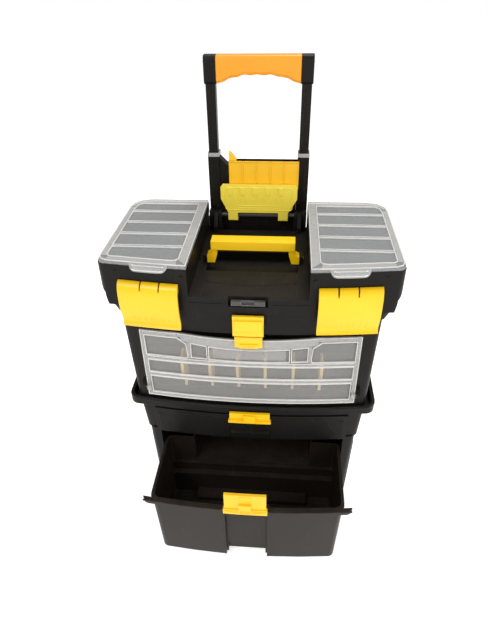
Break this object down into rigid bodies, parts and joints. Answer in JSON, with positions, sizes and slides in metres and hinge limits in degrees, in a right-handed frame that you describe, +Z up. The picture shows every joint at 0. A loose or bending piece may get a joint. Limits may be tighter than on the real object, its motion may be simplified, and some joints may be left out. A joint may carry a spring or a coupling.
{
  "type": "rolling tool box",
  "caption": "Wheeled base with a shallow and a deep drawer, a lift-off tool box with clear organisers in lid and front, and a telescopic pull handle.",
  "frame": {"origin": "middle of the object's footprint on the floor, with the deep drawer open as stored", "axes": "+Z up, -Y towards the front where the drawers open, +X to the right seen from the front"},
  "size_m": [0.44, 0.3988, 0.775],
  "materials": {
    "black_plastic": "fine matte moulding grain",
    "yellow_plastic": "satin moulded",
    "orange_plastic": "satin moulded",
    "clear_plastic": "frosted clear moulding",
    "cream_plastic": "matte moulded",
    "grey_plastic": "matte moulded",
    "steel": "zinc plated",
    "rubber": "matte"
  },
  "bodies": {
    "base": {"base_shell": "black_plastic", "base_rim": "black_plastic", "front_foot_left": "rubber", "front_foot_right": "rubber", "axle": "steel", "lower_post_left": "black_plastic", "lower_post_right": "black_plastic", "post_collar_left": "grey_plastic", "post_collar_right": "grey_plastic", "handle_crosspiece": "black_plastic", "catch_block": "orange_plastic"},
    "tool_box": {"box_body": "black_plastic", "lid_hinge_rod": "black_plastic", "front_organiser_tray": "black_plastic", "organiser_divider_1": "cream_plastic", "organiser_divider_2": "cream_plastic", "organiser_divider_3": "cream_plastic", "organiser_divider_4": "cream_plastic", "organiser_divider_5": "cream_plastic", "organiser_divider_6": "cream_plastic"},
    "lid": {"box_lid": "black_plastic", "lock_bar": "grey_plastic", "organiser_tray_left": "black_plastic", "organiser_tray_right": "black_plastic"},
    "organiser_cover_left": {"organiser_lid_left": "clear_plastic"},
    "organiser_cover_right": {"organiser_lid_right": "clear_plastic"},
    "carry_bail": {"carry_handle": "yellow_plastic"},
    "latch_left": {"side_latch_left": "yellow_plastic"},
    "latch_right": {"side_latch_right": "yellow_plastic"},
    "latch_centre": {"centre_latch": "yellow_plastic"},
    "front_cover": {"front_organiser_cover": "clear_plastic", "front_organiser_clip": "yellow_plastic"},
    "hook": {"hook_plate": "yellow_plastic"},
    "top_drawer": {"upper_drawer": "black_plastic"},
    "top_drawer_catch": {"upper_drawer_latch": "yellow_plastic"},
    "deep_drawer": {"lower_drawer": "black_plastic"},
    "deep_drawer_catch": {"lower_drawer_latch": "yellow_plastic"},
    "wheel_left": {"tyre_left": "rubber", "wheel_hub_left": "black_plastic", "axle_cap_left": "steel"},
    "wheel_right": {"tyre_right": "rubber", "wheel_hub_right": "black_plastic", "axle_cap_right": "steel"},
    "pull_handle": {"inner_tube_left": "black_plastic", "inner_tube_right": "black_plastic", "grip_cap_left": "black_plastic", "grip_cap_right": "black_plastic", "grip": "orange_plastic"}
  },
  "joints": [
    {"name": "box_lift", "type": "slide", "parent": "base", "child": "tool_box", "axis": [0, 0, 1], "range_m": [0, 0.035]},
    {"name": "lid_hinge", "type": "hinge", "parent": "tool_box", "child": "lid", "pos_m": [0, 0.1615, 0.521], "axis": [-1, 0, 0], "range_deg": [0, 75]},
    {"name": "organiser_lid_left_hinge", "type": "hinge", "parent": "lid", "child": "organiser_cover_left", "pos_m": [-0.152, 0.1605, 0.546], "axis": [-1, 0, 0], "range_deg": [0, 95]},
    {"name": "organiser_lid_right_hinge", "type": "hinge", "parent": "lid", "child": "organiser_cover_right", "pos_m": [0.152, 0.1605, 0.546], "axis": [-1, 0, 0], "range_deg": [0, 95]},
    {"name": "carry_handle_fold", "type": "hinge", "parent": "lid", "child": "carry_bail", "pos_m": [0, 0.0355, 0.504], "axis": [1, 0, 0], "range_deg": [0, 85]},
    {"name": "side_latch_left_hinge", "type": "hinge", "parent": "lid", "child": "latch_left", "pos_m": [-0.145, -0.082, 0.51], "axis": [-1, 0, 0], "range_deg": [0, 70]},
    {"name": "side_latch_right_hinge", "type": "hinge", "parent": "lid", "child": "latch_right", "pos_m": [0.145, -0.082, 0.51], "axis": [-1, 0, 0], "range_deg": [0, 70]},
    {"name": "centre_latch_hinge", "type": "hinge", "parent": "lid", "child": "latch_centre", "pos_m": [0, -0.087, 0.472], "axis": [-1, 0, 0], "range_deg": [0, 70]},
    {"name": "front_cover_hinge", "type": "hinge", "parent": "tool_box", "child": "front_cover", "pos_m": [0, -0.0695, 0.311], "axis": [1, 0, 0], "range_deg": [0, 85]},
    {"name": "hook_plate_hinge", "type": "hinge", "parent": "tool_box", "child": "hook", "pos_m": [0, 0.1615, 0.521], "axis": [1, 0, 0], "range_deg": [0, 18]},
    {"name": "upper_drawer_slide", "type": "slide", "parent": "base", "child": "top_drawer", "axis": [0, -1, 0], "range_m": [0, 0.115]},
    {"name": "upper_drawer_latch_hinge", "type": "hinge", "parent": "top_drawer", "child": "top_drawer_catch", "pos_m": [0, -0.0787, 0.245], "axis": [1, 0, 0], "range_deg": [0, 60]},
    {"name": "lower_drawer_slide", "type": "slide", "parent": "base", "child": "deep_drawer", "axis": [0, -1, 0], "range_m": [-0.115, 0]},
    {"name": "lower_drawer_latch_hinge", "type": "hinge", "parent": "deep_drawer", "child": "deep_drawer_catch", "pos_m": [0, -0.19135, 0.156], "axis": [1, 0, 0], "range_deg": [0, 60]},
    {"name": "wheel_left_spin", "type": "hinge", "parent": "base", "child": "wheel_left", "pos_m": [-0.153, 0.1435, 0.055], "axis": [1, 0, 0], "continuous": true},
    {"name": "wheel_right_spin", "type": "hinge", "parent": "base", "child": "wheel_right", "pos_m": [0.153, 0.1435, 0.055], "axis": [1, 0, 0], "continuous": true},
    {"name": "pull_handle_slide", "type": "slide", "parent": "base", "child": "pull_handle", "axis": [0, 0, 1], "range_m": [-0.1, 0]}
  ]
}
